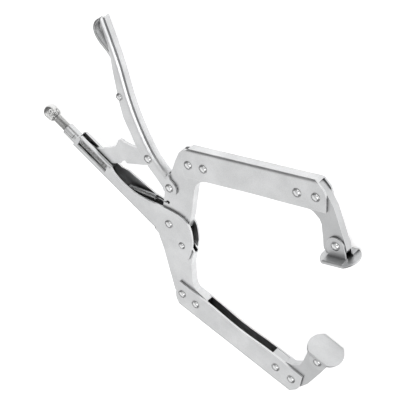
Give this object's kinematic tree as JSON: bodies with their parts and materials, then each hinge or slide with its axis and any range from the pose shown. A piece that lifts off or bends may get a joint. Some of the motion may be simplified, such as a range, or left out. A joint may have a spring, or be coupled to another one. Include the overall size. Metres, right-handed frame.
{
  "type": "locking c clamp",
  "caption": "Long-reach locking C clamp with channel arms, swivel pads, an over-centre lever linkage, a release lever and an adjusting screw.",
  "frame": {"origin": "middle of the bounding box's underside, with the clamp lying on its side", "axes": "+X along the adjusting screw from the knob towards the jaws, +Y from the fixed handle towards the lever handle, +Z through the clamp's thickness and along every pivot"},
  "size_m": [0.4646, 0.3184, 0.0362],
  "materials": {
    "plated_steel": "satin zinc-nickel plate",
    "rivet_steel": "bright plate",
    "screw_steel": "dark plate",
    "spring_steel": "drawn wire"
  },
  "bodies": {
    "fixed_jaw": {"fixed_handle": "plated_steel", "fixed_jaw_root": "plated_steel", "lower_arm": "plated_steel", "lower_jaw_tip": "plated_steel", "jaw_pivot_rivet": "rivet_steel", "jaw_root_rivet": "rivet_steel", "lower_arm_rivet_1": "rivet_steel", "lower_arm_rivet_2": "rivet_steel", "lower_arm_rivet_3": "rivet_steel", "lower_arm_rivet_4": "rivet_steel", "lower_pad_rivet": "rivet_steel", "return_spring": "spring_steel"},
    "movable_jaw": {"movable_jaw_root": "plated_steel", "upper_arm": "plated_steel", "upper_jaw_tip": "plated_steel", "lever_pivot_rivet": "rivet_steel", "upper_arm_rivet_1": "rivet_steel", "upper_arm_rivet_2": "rivet_steel", "upper_arm_rivet_3": "rivet_steel", "upper_arm_rivet_4": "rivet_steel", "upper_pad_rivet": "rivet_steel"},
    "lever": {"lever_handle": "plated_steel", "toggle_pivot_rivet": "rivet_steel", "release_pivot_rivet": "rivet_steel"},
    "release": {"release_lever": "plated_steel"},
    "toggle": {"toggle_link": "plated_steel"},
    "screw": {"adjusting_screw": "screw_steel"},
    "knob": {"adjusting_knob": "screw_steel"},
    "lower_pad_body": {"lower_pad": "plated_steel"},
    "upper_pad_body": {"upper_pad": "plated_steel"}
  },
  "joints": [
    {"name": "jaw_pivot", "type": "hinge", "parent": "fixed_jaw", "child": "movable_jaw", "pos_m": [-0.02133, -0.06157, 0.0181], "axis": [0, 0, -1], "range_deg": [0, 16.7], "deforming": ["return_spring"]},
    {"name": "lever_pivot", "type": "hinge", "parent": "movable_jaw", "child": "lever", "pos_m": [-0.04483, -0.01427, 0.0181], "axis": [0, 0, 1], "range_deg": [0, 58.6]},
    {"name": "toggle_pivot", "type": "hinge", "parent": "lever", "child": "toggle", "pos_m": [-0.08493, -0.00427, 0.0181], "axis": [0, 0, -1], "range_deg": [0, 59.2]},
    {"name": "release_pivot", "type": "hinge", "parent": "lever", "child": "release", "pos_m": [-0.15173, 0.03753, 0.0181], "axis": [0, 0, -1], "range_deg": [0, 3]},
    {"name": "knob_turn", "type": "hinge", "parent": "screw", "child": "knob", "pos_m": [-0.22133, -0.07807, 0.0181], "axis": [-1, 0, 0], "range_deg": [0, 4321]},
    {"name": "screw_travel", "type": "slide", "parent": "fixed_jaw", "child": "screw", "axis": [-1, 0, 0], "range_m": [0, 0.018]},
    {"name": "lower_pad_swivel", "type": "hinge", "parent": "fixed_jaw", "child": "lower_pad_body", "pos_m": [0.21325, -0.04764, 0.0181], "axis": [0, 0, 1], "range_deg": [-12, 12]},
    {"name": "upper_pad_swivel", "type": "hinge", "parent": "movable_jaw", "child": "upper_pad_body", "pos_m": [0.13894, 0.11029, 0.0181], "axis": [0, 0, 1], "range_deg": [-12, 12]}
  ],
  "couplings": [
    {"joint": "lever_pivot", "follows": "jaw_pivot", "ratio": 3.5025},
    {"joint": "toggle_pivot", "follows": "jaw_pivot", "ratio": 3.5394},
    {"joint": "knob_turn", "follows": "screw_travel", "rad_per_m": 4188.8}
  ]
}
